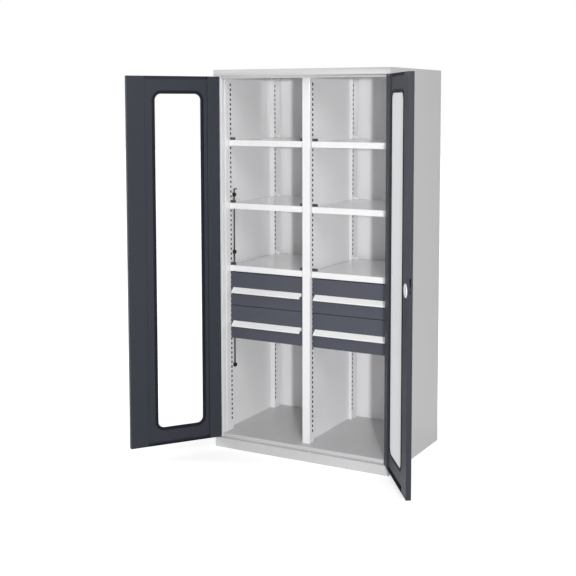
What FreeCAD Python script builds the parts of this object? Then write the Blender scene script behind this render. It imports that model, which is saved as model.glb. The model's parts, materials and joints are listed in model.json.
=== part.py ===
import FreeCAD, Part
import math
import os
import Sketcher

# Heavy-duty cabinet with two window doors, six shelves and four drawers.
# Frame: X to the right seen from the front, Y to the back, Z up, origin on the floor
# at the middle of the plinth's front. The doors stand open.

# Driving dimensions in millimetres and degrees
SIZES = {
    "carcass": {
        "cabinet_width": 980,
        "cabinet_depth": 640,
        "cabinet_height": 1950,
        "sheet_wall": 1.5,
        "fascia_height": 31,
        "plinth_height": 50,
        "plinth_foot": 25,
        "floor_riser": 17,
        "rail_drop": 13,
        "stile_width": 28,
        "stile_lip": 25,
        "rear_flange": 20,
    },
    "slotted uprights and partition": {
        "upright_setback": 62,
        "upright_rear_setback": 13,
        "upright_depth": 65,
        "upright_reach": 30,
        "upright_wall": 2,
        "post_setback": 80,
        "post_width": 42,
        "post_lip_gap": 4,
        "slot_inset": 15,
        "slot_width": 8,
        "slot_height": 14,
        "slot_pitch": 25,
        "slot_first": 919,
        "slot_top_margin": 300,
    },
    "shelves and clips": {
        "shelf_first_slot": 1,
        "shelf_slot_spacing": 13,
        "shelf_rows": 3,
        "shelf_setback": 94,
        "shelf_rear_setback": 35,
        "shelf_side_gap": 3,
        "shelf_sheet": 1.5,
        "shelf_edge": 30,
        "clip_sheet": 2,
        "clip_ledge": 14,
        "clip_tongue": 28,
        "clip_tab": 6,
        "clip_play": 0.5,
        "clip_seat_gap": 0.3,
    },
    "drawers": {
        "drawer_setback": 105,
        "drawer_top_gap": 6,
        "drawer_gap": 2,
        "drawer_side_gap": 2,
        "drawer_front_height": 174,
        "drawer_front_thickness": 18,
        "drawer_front_return": 30,
        "drawer_sheet": 1.5,
        "drawer_box_height": 140,
        "drawer_box_lift": 14,
        "grip_drop": 80,
        "grip_reach": 27,
        "grip_fall": 23,
        "grip_lip": 4,
        "grip_flange": 18,
        "grip_sheet": 2,
        "grip_end_inset": 16,
    },
    "drawer slides": {
        "slide_width": 13,
        "slide_lift": 84,
        "rail_seat": 28,
        "rail_height": 45,
        "rail_sheet": 1.5,
        "rail_gap": 0.3,
    },
    "doors": {
        "door_open_angle": 125.5,
        "door_thickness": 24,
        "door_back_gap": 5,
        "door_end_gap": 2,
        "door_edge_gap": 2,
        "door_meeting_gap": 3,
        "door_sheet": 1.5,
        "free_band": 92,
        "hinge_band": 64,
        "liner_drop": 8.5,
        "liner_end_gap": 14,
        "pivot_inset": 12,
        "pivot_diameter": 8,
        "pivot_play": 0.1,
        "pivot_grip": 10,
        "pivot_head_width": 13,
        "pivot_head_height": 3,
    },
    "windows": {
        "window_free_margin": 138.5,
        "window_hinge_margin": 92,
        "window_end_margin": 80,
        "window_radius": 40,
        "pane_thickness": 4,
        "pane_edge_gap": 2,
        "gasket_lip": 2,
        "gasket_cover": 8,
        "gasket_hold": 8,
    },
    "lock": {
        "lock_height": 973,
        "lock_backset": 36,
        "lock_cover_diameter": 63,
        "lock_cover_thickness": 3,
        "dish_diameter": 60,
        "dish_depth": 7.5,
        "escutcheon_width": 26,
        "escutcheon_height": 42,
        "escutcheon_radius": 6,
        "escutcheon_thickness": 1.5,
        "spindle_diameter": 10,
        "spindle_play": 0.1,
        "grip_bar_length": 52,
        "grip_bar_width": 13,
        "grip_bar_taper": 9,
        "grip_bar_stand": 0.3,
        "grip_bar_proud": 1.5,
        "cam_reach": 55,
        "cam_width": 20,
        "cam_nose": 12,
        "cam_heel": 10,
        "cam_sheet": 4,
        "edge_slot_width": 6,
        "edge_slot_rise": 57,
        "edge_slot_fall": 8,
        "rod_backset": 57,
        "rod_width": 12,
        "rod_sheet": 4,
        "rod_play": 0.5,
        "rod_throw": 18,
        "rod_tail": 22,
        "rod_tab_height": 6,
        "rod_tab_width": 8,
        "rod_tab_depth": 6,
        "case_width": 58,
        "case_offset": 22,
        "case_height": 110,
        "case_thickness": 7,
        "keeper_play": 2,
    },
    "side rod": {
        "side_rod_setback": 162,
        "side_rod_reach": 17,
        "side_rod_diameter": 7,
        "side_rod_low": 390,
        "side_rod_length": 948,
        "side_clip_size": 20,
        "side_clip_chamfer": 6,
        "side_clip_overhang": 7,
        "side_clip_spacing": 302,
        "side_clip_count": 4,
        "side_clip_play": 0.1,
    },
}


class Dim:
    """A length that carries its value and the sheet expression it comes from."""

    def __init__(self, value, text):
        self.value = float(value)
        self.text = text

    def __add__(self, other):
        other = as_dim(other)
        return Dim(self.value + other.value, f"({self.text} + {other.text})")

    def __sub__(self, other):
        other = as_dim(other)
        return Dim(self.value - other.value, f"({self.text} - {other.text})")

    def __mul__(self, other):
        other = as_dim(other)
        return Dim(self.value * other.value, f"({self.text} * {other.text})")

    def __truediv__(self, other):
        other = as_dim(other)
        return Dim(self.value / other.value, f"({self.text} / {other.text})")

    def __neg__(self):
        return Dim(-self.value, f"(-1 * {self.text})")

    def __radd__(self, other):
        return as_dim(other) + self

    def __rmul__(self, other):
        return as_dim(other) * self


def as_dim(number):
    return number if isinstance(number, Dim) else Dim(number, f"({number})")


def whole(length):
    return Dim(math.floor(length.value), f"floor({length.text})")


class Sizes:
    """The driving dimensions, each an attribute that points at its cell of the sheet."""

    def __init__(self, doc, groups):
        sheet = doc.addObject("Spreadsheet::Sheet", "sizes")
        row = 1
        for group, values in groups.items():
            sheet.set(f"A{row}", group)
            row += 1
            for alias, value in values.items():
                sheet.set(f"A{row}", alias.replace("_", " "))
                sheet.set(f"B{row}", str(value))
                sheet.setAlias(f"B{row}", alias)
                setattr(self, alias, Dim(value, f"sizes.{alias}"))
                row += 1


doc = FreeCAD.newDocument("cabinet")
s = Sizes(doc, SIZES)
doc.recompute()

bodies = []
cuts = []


# Outlines for sketches
class Polygon:
    """A closed outline of straight runs through the given corners."""

    def __init__(self, *corners):
        self.corners = [(as_dim(x), as_dim(y)) for x, y in corners]

    def draw(self, sketch):
        first = sketch.GeometryCount
        count = len(self.corners)
        constraints = []
        for i, (x, y) in enumerate(self.corners):
            ex, ey = self.corners[(i + 1) % count]
            start = FreeCAD.Vector(x.value, y.value, 0)
            end = FreeCAD.Vector(ex.value, ey.value, 0)
            sketch.addGeometry(Part.LineSegment(start, end), False)
            following = first + (i + 1) % count
            constraints.append((Sketcher.Constraint("Coincident", first + i, 2, following, 1), None))
        for i, (x, y) in enumerate(self.corners):
            constraints += place(first + i, 1, x, y)
        bind(sketch, constraints)


def rectangle(x1, y1, x2, y2):
    return Polygon((x1, y1), (x2, y1), (x2, y2), (x1, y2))


def hexagon(x, y, width):
    """A regular hexagon about a point, of the given width across its flats."""
    half = width / 2
    side = width / math.sqrt(3)
    return Polygon(
        (x - half, y - side / 2),
        (x, y - side),
        (x + half, y - side / 2),
        (x + half, y + side / 2),
        (x, y + side),
        (x - half, y + side / 2),
    )


class Circle:
    """A full circle about the given centre."""

    def __init__(self, x, y, diameter):
        self.x = as_dim(x)
        self.y = as_dim(y)
        self.radius = as_dim(diameter) / 2

    def draw(self, sketch):
        index = sketch.GeometryCount
        centre = FreeCAD.Vector(self.x.value, self.y.value, 0)
        axis = FreeCAD.Vector(0, 0, 1)
        sketch.addGeometry(Part.Circle(centre, axis, self.radius.value), False)
        radius = Sketcher.Constraint("Radius", index, self.radius.value)
        bind(sketch, place(index, 3, self.x, self.y) + [(radius, self.radius)])


class RoundedRectangle:
    """A rectangle with its four corners rounded to one radius."""

    def __init__(self, x1, y1, x2, y2, radius):
        self.low = (as_dim(x1), as_dim(y1))
        self.high = (as_dim(x2), as_dim(y2))
        self.radius = as_dim(radius)

    def draw(self, sketch):
        first = sketch.GeometryCount
        (x1, y1), (x2, y2), r = self.low, self.high, self.radius
        centres = [(x1 + r, y1 + r), (x2 - r, y1 + r), (x2 - r, y2 - r), (x1 + r, y2 - r)]
        constraints = []
        for i, (x, y) in enumerate(centres):
            centre = FreeCAD.Vector(x.value, y.value, 0)
            begin = math.pi * (1 + i / 2)
            circle = Part.Circle(centre, FreeCAD.Vector(0, 0, 1), r.value)
            sketch.addGeometry(Part.ArcOfCircle(circle, begin, begin + math.pi / 2), False)
            constraints += place(first + i, 3, x, y)
            constraints.append((Sketcher.Constraint("Radius", first + i, r.value), r))
        for i in range(4):
            arc, following = first + i, first + (i + 1) % 4
            start = sketch.Geometry[arc].EndPoint
            end = sketch.Geometry[following].StartPoint
            line = sketch.addGeometry(Part.LineSegment(start, end), False)
            constraints.append((Sketcher.Constraint("Tangent", arc, 2, line, 1), None))
            constraints.append((Sketcher.Constraint("Tangent", line, 2, following, 1), None))
        bind(sketch, constraints)


def place(geometry, point, x, y):
    """Constraints that hold a point of a sketch element at x, y."""
    return [
        (Sketcher.Constraint("DistanceX", -1, 1, geometry, point, x.value), x),
        (Sketcher.Constraint("DistanceY", -1, 1, geometry, point, y.value), y),
    ]


def bind(sketch, constraints):
    """Adds the constraints and ties each measured one to its expression."""
    first = sketch.ConstraintCount
    sketch.addConstraint([constraint for constraint, _ in constraints])
    for i, (_, length) in enumerate(constraints):
        if length is not None:
            sketch.setExpression(f"Constraints[{first + i}]", length.text)


# Bodies and features
def new_body(label, x=0, y=0, z=0, turn=None):
    """An empty body with its place, and its turn about Z, tied to the sheet."""
    body = doc.addObject("PartDesign::Body", label)
    body.Label = label
    body.AllowCompound = True
    if turn is not None:
        upright = FreeCAD.Rotation(FreeCAD.Vector(0, 0, 1), turn.value)
        body.Placement = FreeCAD.Placement(FreeCAD.Vector(), upright)
        body.setExpression("Placement.Rotation.Angle", turn.text)
    for axis, length in zip("xyz", (x, y, z)):
        body.setExpression(f"Placement.Base.{axis}", as_dim(length).text)
    bodies.append(body)
    return body


def new_sketch(body, plane, offset, outlines):
    """A sketch parallel to one of the body's own planes, with the given outlines."""
    sketch = body.newObject("Sketcher::SketchObject", f"{body.Name}_sketch")
    origin_plane = [f for f in body.Origin.OriginFeatures if f.Role == f"{plane}_Plane"]
    sketch.AttachmentSupport = [(origin_plane[0], "")]
    sketch.MapMode = "FlatFace"
    sketch.setExpression("AttachmentOffset.Base.z", as_dim(offset).text)
    for outline in outlines:
        outline.draw(sketch)
    return sketch


def extrude(body, plane, low, high, *outlines):
    """Adds material between two heights over a plane: XY along Z, YZ along X, XZ along Y."""
    low, high = as_dim(low), as_dim(high)
    offset = -high if plane == "XZ" else low
    pad = body.newObject("PartDesign::Pad", f"{body.Name}_pad")
    pad.Profile = new_sketch(body, plane, offset, outlines)
    pad.setExpression("Length", (high - low).text)
    body.Tip = pad
    return pad


def cut(body, plane, low, high, *outlines):
    """Takes material away between two heights over a plane."""
    low, high = as_dim(low), as_dim(high)
    offset = -low if plane == "XZ" else high
    pocket = body.newObject("PartDesign::Pocket", f"{body.Name}_pocket")
    pocket.Profile = new_sketch(body, plane, offset, outlines)
    pocket.setExpression("Length", (high - low).text)
    body.Tip = pocket
    cuts.append(pocket)
    return pocket


def repeat(body, features, pitch, count):
    """Repeats features upwards at an even pitch."""
    pattern = body.newObject("PartDesign::LinearPattern", f"{body.Name}_pattern")
    pattern.Originals = features
    axis = [f for f in body.Origin.OriginFeatures if f.Role == "Z_Axis"]
    pattern.Direction = (axis[0], [""])
    pattern.Mode = "Spacing"
    pattern.setExpression("Offset", as_dim(pitch).text)
    pattern.setExpression("Occurrences", as_dim(count).text)
    body.Tip = pattern
    return pattern


# Main planes of the carcass
half_width = s.cabinet_width / 2
front = as_dim(0)
back = s.cabinet_depth
wall = s.sheet_wall
stile_front = front + s.door_thickness + s.door_back_gap
roof_low = s.cabinet_height - wall
fascia_low = s.cabinet_height - s.fascia_height
floor_top = s.plinth_height + s.floor_riser
opening_half = half_width - s.stile_width

# Slotted uprights and posts
upright_face = half_width - s.upright_reach
post_half = s.post_width / 2
post_front = front + s.post_setback
upright_front = front + s.upright_setback
upright_rear = back - s.upright_rear_setback
front_slot = upright_front + s.upright_depth - s.slot_inset
rear_slot = upright_rear - s.upright_depth + s.slot_inset
slot_room = s.cabinet_height - s.slot_top_margin - s.slot_first
slot_count = whole(slot_room / s.slot_pitch) + 1

# Bays between the slotted faces
bay_width = upright_face - post_half
bay_half = bay_width / 2
bay_middle = post_half + bay_half
SIDES = {"left": -1, "right": 1}

# Shelves and drawers
shelf_spacing = s.shelf_slot_spacing * s.slot_pitch
shelf_lowest = s.slot_first + s.shelf_first_slot * s.slot_pitch
drawer_face = front + s.drawer_setback
upper_drawer_low = shelf_lowest - s.shelf_edge - s.drawer_top_gap - s.drawer_front_height
lower_drawer_low = upper_drawer_low - s.drawer_gap - s.drawer_front_height
DRAWER_ROWS = {"upper": upper_drawer_low, "lower": lower_drawer_low}
rail_start = drawer_face + s.drawer_front_thickness
rail_end = upright_rear - s.upright_depth + s.rail_seat

# Doors, measured from their pivot line
pivot_x = half_width - s.pivot_inset
pivot_y = front + s.pivot_inset
door_hinge_edge = s.door_edge_gap - s.pivot_inset
door_free_edge = pivot_x - s.door_meeting_gap / 2
door_outer = -s.pivot_inset
door_inner = s.door_thickness - s.pivot_inset
door_low = s.plinth_height + s.door_end_gap
door_high = fascia_low - s.door_end_gap
liner_face = door_inner - s.liner_drop

# Lock, measured from the right door's pivot line
lock_x = -(door_free_edge - s.lock_backset)
rod_x = -(door_free_edge - s.rod_backset)
dish_floor = door_outer + s.dish_depth
case_front = door_inner - s.door_sheet - s.case_thickness
keeper_x = pivot_x + rod_x


def make_side_panel(name, side):
    """Side wall with front stile, lip behind it and a flange for the back panel."""
    body = new_body(f"{name}_side_panel")
    outer, inner = side * half_width, side * (half_width - wall)
    stile_edge, lip_back = side * opening_half, side * (opening_half + wall)
    flange_edge = side * (half_width - s.rear_flange)
    plan = Polygon(
        (outer, stile_front),
        (stile_edge, stile_front),
        (stile_edge, stile_front + s.stile_lip),
        (lip_back, stile_front + s.stile_lip),
        (lip_back, stile_front + wall),
        (inner, stile_front + wall),
        (inner, back - 2 * wall),
        (flange_edge, back - 2 * wall),
        (flange_edge, back - wall),
        (inner, back - wall),
        (inner, back),
        (outer, back),
    )
    extrude(body, "XY", 0, roof_low, plan)
    ear_low = half_width - wall if side > 0 else -half_width
    upper_ear = rectangle(front + wall, fascia_low + wall, stile_front, roof_low)
    lower_ear = rectangle(front + wall, 0, stile_front, s.plinth_height - wall)
    extrude(body, "YZ", ear_low, ear_low + wall, upper_ear, lower_ear)


def make_top_cover():
    """Roof sheet folded down into the fascia, back under it and down into the top rail."""
    body = new_body("top_cover")
    fold = Polygon(
        (front, s.cabinet_height),
        (back, s.cabinet_height),
        (back, roof_low),
        (front + wall, roof_low),
        (front + wall, fascia_low + wall),
        (stile_front, fascia_low + wall),
        (stile_front, fascia_low),
        (front, fascia_low),
    )
    extrude(body, "YZ", -half_width, half_width, fold)
    rail = rectangle(stile_front, fascia_low - s.rail_drop, stile_front + wall, fascia_low + wall)
    extrude(body, "YZ", -opening_half, opening_half, rail)
    cut(body, "XY", fascia_low, fascia_low + wall, *pivot_holes(), rod_keeper())


def make_plinth():
    """Front base strip: face, ledge under the doors and a foot along the floor."""
    body = new_body("plinth")
    fold = Polygon(
        (front, 0),
        (front + s.plinth_foot, 0),
        (front + s.plinth_foot, wall),
        (front + wall, wall),
        (front + wall, s.plinth_height - wall),
        (stile_front, s.plinth_height - wall),
        (stile_front, s.plinth_height),
        (front, s.plinth_height),
    )
    inner_half = half_width - wall
    extrude(body, "YZ", -inner_half, inner_half, fold)
    ends = rectangle(front, 0, front + wall, s.plinth_height)
    ledge_ends = rectangle(front, s.plinth_height - wall, stile_front, s.plinth_height)
    for end in (-half_width, inner_half):
        extrude(body, "YZ", end, end + wall, ends)
        extrude(body, "YZ", end, end + wall, ledge_ends)
    cut(body, "XY", s.plinth_height - wall, s.plinth_height, rod_keeper())


def pivot_holes():
    hole = s.pivot_diameter + s.pivot_play
    return [Circle(side * pivot_x, pivot_y, hole) for side in SIDES.values()]


def rod_keeper():
    half_x = s.rod_width / 2 + s.keeper_play
    half_y = s.rod_sheet / 2 + s.keeper_play
    return rectangle(keeper_x - half_x, pivot_y - half_y, keeper_x + half_x, pivot_y + half_y)


def make_floor_panel():
    """Raised floor, notched round the stiles, with a riser at the front."""
    body = new_body("floor_panel")
    inner_half = half_width - wall
    lip_end = stile_front + s.stile_lip
    plan = Polygon(
        (-opening_half, stile_front),
        (opening_half, stile_front),
        (opening_half, lip_end),
        (inner_half, lip_end),
        (inner_half, back - 2 * wall),
        (-inner_half, back - 2 * wall),
        (-inner_half, lip_end),
        (-opening_half, lip_end),
    )
    extrude(body, "XY", floor_top - wall, floor_top, plan)
    riser = rectangle(stile_front, s.plinth_height - wall, stile_front + wall, floor_top - wall)
    extrude(body, "YZ", -opening_half, opening_half, riser)


def make_back_panel():
    body = new_body("back_panel")
    sheet = rectangle(-(half_width - wall), 0, half_width - wall, roof_low)
    extrude(body, "XZ", back - wall, back, sheet)


def slot_outline(middle):
    half = s.slot_width / 2
    return rectangle(middle - half, s.slot_first, middle + half, s.slot_first + s.slot_height)


def make_side_upright(name, side, low, slot_middle):
    """Channel on a side wall, with a column of slots in the face towards the bay."""
    face, web = side * upright_face, side * (upright_face + s.upright_wall)
    foot = side * (half_width - wall)
    high = low + s.upright_depth
    body = new_body(name)
    plan = Polygon(
        (face, low),
        (face, high),
        (foot, high),
        (foot, high - s.upright_wall),
        (web, high - s.upright_wall),
        (web, low + s.upright_wall),
        (foot, low + s.upright_wall),
        (foot, low),
    )
    extrude(body, "XY", floor_top, roof_low, plan)
    cut_low = upright_face if side > 0 else -(upright_face + s.upright_wall)
    slot = cut(body, "YZ", cut_low, cut_low + s.upright_wall, slot_outline(slot_middle))
    repeat(body, [slot], s.slot_pitch, slot_count)


def make_post(name, web, mouth, slot_middle):
    """Lipped channel of the partition, slotted on both sides; the panel enters its mouth."""
    body = new_body(name)
    inward = 1 if mouth.value > web.value else -1
    thick = inward * s.upright_wall
    lip = s.post_lip_gap / 2
    inner = post_half - s.upright_wall
    plan = Polygon(
        (-post_half, web),
        (post_half, web),
        (post_half, mouth),
        (lip, mouth),
        (lip, mouth - thick),
        (inner, mouth - thick),
        (inner, web + thick),
        (-inner, web + thick),
        (-inner, mouth - thick),
        (-lip, mouth - thick),
        (-lip, mouth),
        (-post_half, mouth),
    )
    extrude(body, "XY", floor_top, roof_low, plan)
    slot = cut(body, "YZ", -post_half, post_half, slot_outline(slot_middle))
    repeat(body, [slot], s.slot_pitch, slot_count)


def make_partition():
    make_post("partition_front_post", post_front, upright_front + s.upright_depth, front_slot)
    make_post("partition_rear_post", upright_rear, upright_rear - s.upright_depth, rear_slot)
    body = new_body("partition_panel")
    edge = s.upright_wall
    plan = rectangle(-(wall / 2), post_front + edge, wall / 2, upright_rear - edge)
    extrude(body, "XY", floor_top, roof_low, plan)


def make_shelf(name, side, row):
    """Shelf tray with turned-down edges; its top lies at the body's own Z zero."""
    body = new_body(name, x=side * bay_middle, z=shelf_lowest + row * shelf_spacing)
    half = bay_half - s.shelf_side_gap
    sheet = s.shelf_sheet
    shelf_front = front + s.shelf_setback
    shelf_rear = back - s.shelf_rear_setback
    rim = rectangle(-half, shelf_front, half, shelf_rear)
    hollow = rectangle(-half + sheet, shelf_front + sheet, half - sheet, shelf_rear - sheet)
    extrude(body, "XY", -s.shelf_edge, 0, rim)
    cut(body, "XY", -s.shelf_edge, -sheet, hollow)


def clip_outline(face, inward):
    """Front view of a clip: tab through the slot, block over the shelf, ledge under it."""
    top = shelf_lowest
    under = top - s.shelf_edge
    tab_low = top + s.clip_play
    tab_high = top + s.slot_height - s.clip_play
    plate = face + inward * s.clip_sheet
    tongue = face + inward * s.clip_tongue
    ledge = face + inward * s.clip_ledge
    tab = face - inward * s.clip_tab
    seat = top + s.clip_seat_gap
    return Polygon(
        (face, under - s.clip_sheet),
        (ledge, under - s.clip_sheet),
        (ledge, under),
        (plate, under),
        (plate, seat),
        (tongue, seat),
        (tongue, tab_high),
        (tab, tab_high),
        (tab, tab_low),
        (face, tab_low),
    )


def make_shelf_clips():
    """Four clips for each shelf, in the front and rear slot columns of both bays."""
    body = new_body("shelf_clips")
    columns = [(-upright_face, 1), (-post_half, -1), (post_half, 1), (upright_face, -1)]
    half = s.slot_width / 2 - s.clip_play
    rows = []
    for middle in (front_slot, rear_slot):
        outlines = [clip_outline(face, inward) for face, inward in columns]
        rows.append(extrude(body, "XZ", middle - half, middle + half, *outlines))
    repeat(body, rows, shelf_spacing, s.shelf_rows)


def make_drawer(name, side, low):
    """Drawer front, slanted grip and box, in a frame at the middle of the front's lower edge."""
    place_at = {"x": side * bay_middle, "y": drawer_face, "z": low}
    half = bay_half - s.drawer_side_gap
    sheet = s.drawer_sheet
    depth = s.drawer_front_thickness
    top = s.drawer_front_height

    def inset(gap):
        return rectangle(-half + gap, gap, half - gap, top - gap)

    body = new_body(f"{name}_front", **place_at)
    extrude(body, "XZ", 0, sheet, inset(as_dim(0)))
    extrude(body, "XZ", sheet, depth - sheet, inset(as_dim(0)), inset(sheet))
    extrude(body, "XZ", depth - sheet, depth, inset(as_dim(0)), inset(s.drawer_front_return))

    body = new_body(f"{name}_grip", **place_at)
    grip_top = top - s.grip_drop
    grip_low = grip_top - s.grip_fall
    inner_top = grip_top - s.grip_sheet - s.grip_sheet
    tip = -s.grip_reach
    profile = Polygon(
        (0, grip_top),
        (0, grip_top - s.grip_flange),
        (-s.grip_sheet, grip_top - s.grip_flange),
        (-s.grip_sheet, inner_top),
        (tip + s.grip_sheet, grip_low - s.grip_sheet / 2),
        (tip + s.grip_sheet, grip_low - s.grip_lip),
        (tip, grip_low - s.grip_lip),
        (tip, grip_low),
    )
    grip_half = half - s.grip_end_inset
    extrude(body, "YZ", -grip_half, grip_half, profile)

    body = new_body(f"{name}_box", **place_at)
    box_half = bay_half - s.slide_width
    box_low = s.drawer_box_lift
    box_high = box_low + s.drawer_box_height
    box_rear = rail_end - drawer_face
    extrude(body, "XY", box_low, box_high, rectangle(-box_half, depth, box_half, box_rear))
    inside = rectangle(-box_half + sheet, depth + sheet, box_half - sheet, box_rear - sheet)
    cut(body, "XY", box_low + sheet, box_high, inside)


def rail_outline(middle_x, side, web, rim, middle, half):
    """Channel section of one slide rail: web against one side, two flanges towards the other."""
    sheet = s.rail_sheet
    inner = web + sheet if rim.value > web.value else web - sheet
    corners = [
        (web, middle - half),
        (rim, middle - half),
        (rim, middle - half + sheet),
        (inner, middle - half + sheet),
        (inner, middle + half - sheet),
        (rim, middle + half - sheet),
        (rim, middle + half),
        (web, middle + half),
    ]
    return Polygon(*[(middle_x + side * (bay_half - x), z) for x, z in corners])


def slide_sections():
    """Depth of each rail's web and rim from the slotted face, and its half height."""
    step = s.rail_sheet + s.rail_gap
    half = s.rail_height / 2
    outer = (as_dim(0), s.slide_width - step, half)
    middle = (step, s.slide_width - s.rail_gap, half - step)
    inner = (s.slide_width, 2 * step, half - 2 * step)
    return outer, middle, inner


def rail_outlines(middle_x, low, section):
    """Sections of one kind of rail on both sides of a drawer with the given lower edge."""
    web, rim, half = section
    z = low + s.slide_lift
    return [rail_outline(middle_x, side, web, rim, z, half) for side in (-1, 1)]


def make_slides():
    """Telescopic slides: outer rails on the slotted faces, middle rails, rails on the boxes."""
    outer, middle, inner = slide_sections()
    fixed = []
    for bay, side in SIDES.items():
        for row, low in DRAWER_ROWS.items():
            fixed += rail_outlines(side * bay_middle, low, outer)
            for kind, section in (("middle", middle), ("inner", inner)):
                body = new_body(f"{bay}_{row}_drawer_{kind}_rails", x=side * bay_middle)
                extrude(body, "XZ", rail_start, rail_end, *rail_outlines(0, low, section))
    extrude(new_body("drawer_outer_rails"), "XZ", rail_start, rail_end, *fixed)


def door_body(name, side):
    """A body in the frame of a door: origin on its pivot line, turned open."""
    turn = side * s.door_open_angle
    return new_body(name, x=side * pivot_x, y=pivot_y, turn=turn)


def mirrored(side, shape, x1, z1, x2, z2, *more):
    """A shape of a door, given as on the left door, on either door."""
    if side > 0:
        return shape(-x2, z1, -x1, z2, *more)
    return shape(x1, z1, x2, z2, *more)


def window_outline(side, grow):
    """The window opening, grown outwards on all sides."""
    return mirrored(
        side,
        RoundedRectangle,
        door_hinge_edge + s.window_hinge_margin - grow,
        door_low + s.window_end_margin - grow,
        door_free_edge - s.window_free_margin + grow,
        door_high - s.window_end_margin + grow,
        s.window_radius + grow,
    )


def make_door_skin(name, side):
    """Sheet tray with folded edges, window collar, pivot holes, lock slot and lock dish."""
    body = door_body(f"{name}_door_skin", side)
    sheet = s.door_sheet
    outer = mirrored(side, rectangle, door_hinge_edge, door_low, door_free_edge, door_high)
    hollow = mirrored(
        side,
        rectangle,
        door_hinge_edge + sheet,
        door_low + sheet,
        door_free_edge - sheet,
        door_high - sheet,
    )
    extrude(body, "XZ", door_outer, door_inner, outer)
    cut(body, "XZ", door_outer + sheet, door_inner, hollow)
    cut(body, "XZ", door_outer, door_outer + sheet, window_outline(side, 0))
    collar = (window_outline(side, sheet), window_outline(side, 0))
    extrude(body, "XZ", door_outer + sheet, liner_face - sheet, *collar)
    pivot = Circle(0, 0, s.pivot_diameter + s.pivot_play)
    through = [pivot]
    if side > 0:
        half_x = s.rod_width / 2 + s.rod_play
        half_y = s.rod_sheet / 2 + s.rod_play
        through.append(rectangle(rod_x - half_x, -half_y, rod_x + half_x, half_y))
        add_lock_dish(body)
    cut(body, "XY", door_high - sheet, door_high, *through)
    cut(body, "XY", door_low, door_low + sheet, *through)
    slot_half = s.edge_slot_width / 2
    slot = rectangle(
        -slot_half,
        s.lock_height - s.edge_slot_fall,
        slot_half,
        s.lock_height + s.edge_slot_rise,
    )
    edge_low = -door_free_edge if side > 0 else door_free_edge - sheet
    cut(body, "YZ", edge_low, edge_low + sheet, slot)


def add_lock_dish(body):
    """Round recess pressed into the door's face, with a hole for the spindle in its floor."""
    dish = Circle(lock_x, s.lock_height, s.dish_diameter)
    pressed = Circle(lock_x, s.lock_height, s.dish_diameter + 2 * s.door_sheet)
    spindle_hole = Circle(lock_x, s.lock_height, s.spindle_diameter + 4 * s.rod_play)
    extrude(body, "XZ", door_outer, dish_floor + s.door_sheet, pressed)
    cut(body, "XZ", door_outer, dish_floor, dish)
    cut(body, "XZ", dish_floor, dish_floor + s.door_sheet, spindle_hole)


def make_door_stiffeners(name, side):
    """Angle covers along the free side and the hinge side, and the liner sheet between them."""
    body = door_body(f"{name}_door_stiffeners", side)
    sheet = s.door_sheet
    bands = [
        (door_hinge_edge + sheet, door_hinge_edge + s.hinge_band, -1),
        (door_free_edge - sheet, door_free_edge - s.free_band, 1),
    ]
    outlines = []
    for edge, leg, way in bands:
        corners = [
            (edge, door_inner - sheet),
            (edge, door_inner),
            (leg, door_inner),
            (leg, door_outer + sheet),
            (leg + way * sheet, door_outer + sheet),
            (leg + way * sheet, door_inner - sheet),
        ]
        outlines.append(Polygon(*[(-side * x, y) for x, y in corners]))
    extrude(body, "XY", door_low + sheet, door_high - sheet, *outlines)
    liner = mirrored(
        side,
        rectangle,
        door_hinge_edge + s.hinge_band,
        door_low + sheet + s.liner_end_gap,
        door_free_edge - s.free_band,
        door_high - sheet - s.liner_end_gap,
    )
    extrude(body, "XZ", liner_face - sheet, liner_face, liner, window_outline(side, 0))


def make_window(name, side):
    """Clear pane, and the black gasket that wraps its edge and covers the edge of the liner."""
    pane_front = liner_face - s.pane_thickness
    opening = window_outline(side, 0)
    pane_edge = window_outline(side, -s.pane_edge_gap)
    inner_edge = window_outline(side, -s.gasket_hold)
    outer_edge = window_outline(side, s.gasket_cover)

    pane = door_body(f"{name}_door_pane", side)
    extrude(pane, "XZ", pane_front, liner_face, pane_edge)

    gasket = door_body(f"{name}_door_gasket", side)
    extrude(gasket, "XZ", pane_front - s.gasket_lip, pane_front, opening, inner_edge)
    extrude(gasket, "XZ", pane_front, liner_face, opening, pane_edge)
    extrude(gasket, "XZ", liner_face, liner_face + s.gasket_lip, outer_edge, inner_edge)


def make_pivot_pins():
    """Pins on which the doors turn: headed ones in the fascia, footed ones on the ledge."""
    places = [(side * pivot_x, pivot_y) for side in SIDES.values()]
    shanks = [Circle(x, y, s.pivot_diameter) for x, y in places]
    heads = [hexagon(x, y, s.pivot_head_width) for x, y in places]

    upper = new_body("upper_pivot_pins")
    head_low = fascia_low + wall
    extrude(upper, "XY", door_high - s.pivot_grip, head_low, *shanks)
    extrude(upper, "XY", head_low, head_low + s.pivot_head_height, *heads)

    lower = new_body("lower_pivot_pins")
    extrude(lower, "XY", s.plinth_height, door_low, *heads)
    extrude(lower, "XY", door_low, door_low + s.pivot_grip, *shanks)


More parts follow.
